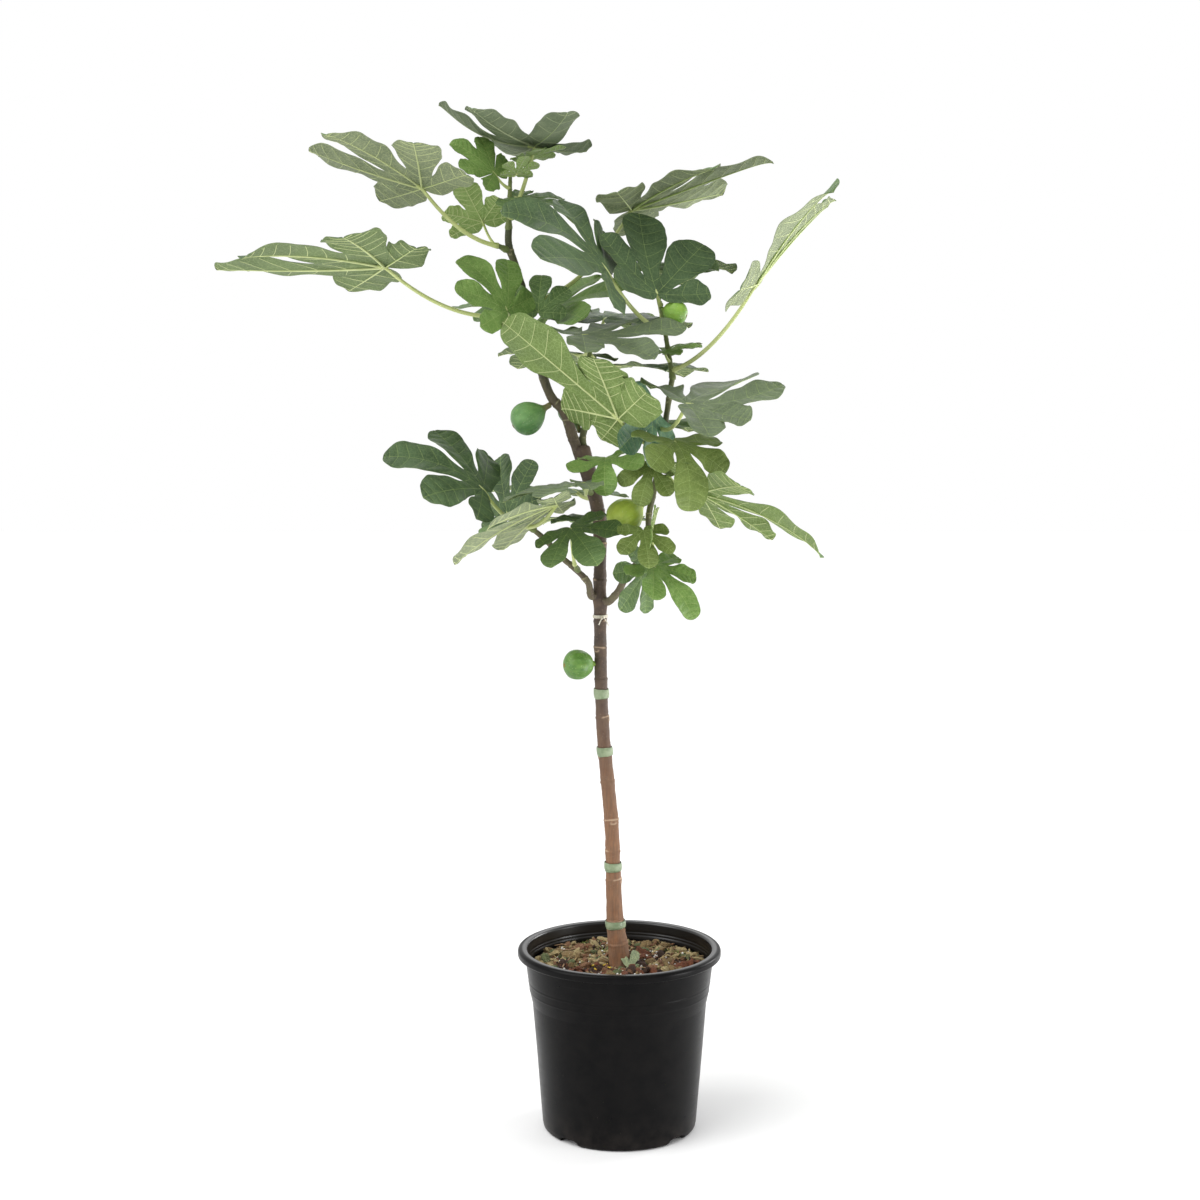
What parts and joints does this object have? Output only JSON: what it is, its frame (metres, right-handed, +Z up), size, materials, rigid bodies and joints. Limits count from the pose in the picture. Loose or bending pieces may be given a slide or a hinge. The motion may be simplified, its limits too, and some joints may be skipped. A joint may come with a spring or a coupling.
{
  "type": "potted fig tree",
  "caption": "Young fig tree grown as a small standard, with a slim trunk, broad lobed leaves and green figs, standing in a round black nursery pot.",
  "frame": {"origin": "middle of the pot's flat underside", "axes": "+Z up, -Y towards the front of the plant, +X to the right seen from the front"},
  "size_m": [0.8238, 0.4769, 1.3945],
  "materials": {
    "pot": "satin",
    "soil": "matt",
    "bark": "matt",
    "green_wood": "satin",
    "leaf": "satin",
    "fig": "satin",
    "tape": "satin",
    "string": "matt"
  },
  "bodies": {
    "root": {"pot": "pot", "soil": "soil", "trunk": "bark", "leader_bough": "bark", "middle_bough": "green_wood", "right_bough": "green_wood", "left_bough": "green_wood", "top_leaves": "leaf", "upper_left_leaves": "leaf", "left_leaves": "leaf", "inner_right_leaves": "leaf", "centre_leaves": "leaf", "right_top_leaves": "leaf", "right_upper_leaves": "leaf", "right_front_leaves": "leaf", "right_middle_leaves": "leaf", "right_low_leaves": "leaf", "trunk_front_leaves": "leaf", "trunk_back_leaves": "leaf", "left_shoot_leaves": "leaf", "left_low_leaves": "leaf", "leader_fig": "fig", "trunk_fig": "fig", "fork_fig": "fig", "shoot_fig": "fig", "tape_low": "tape", "tape_second": "tape", "tape_third": "tape", "tape_top": "tape", "string_tie": "string"}
  },
  "joints": []
}
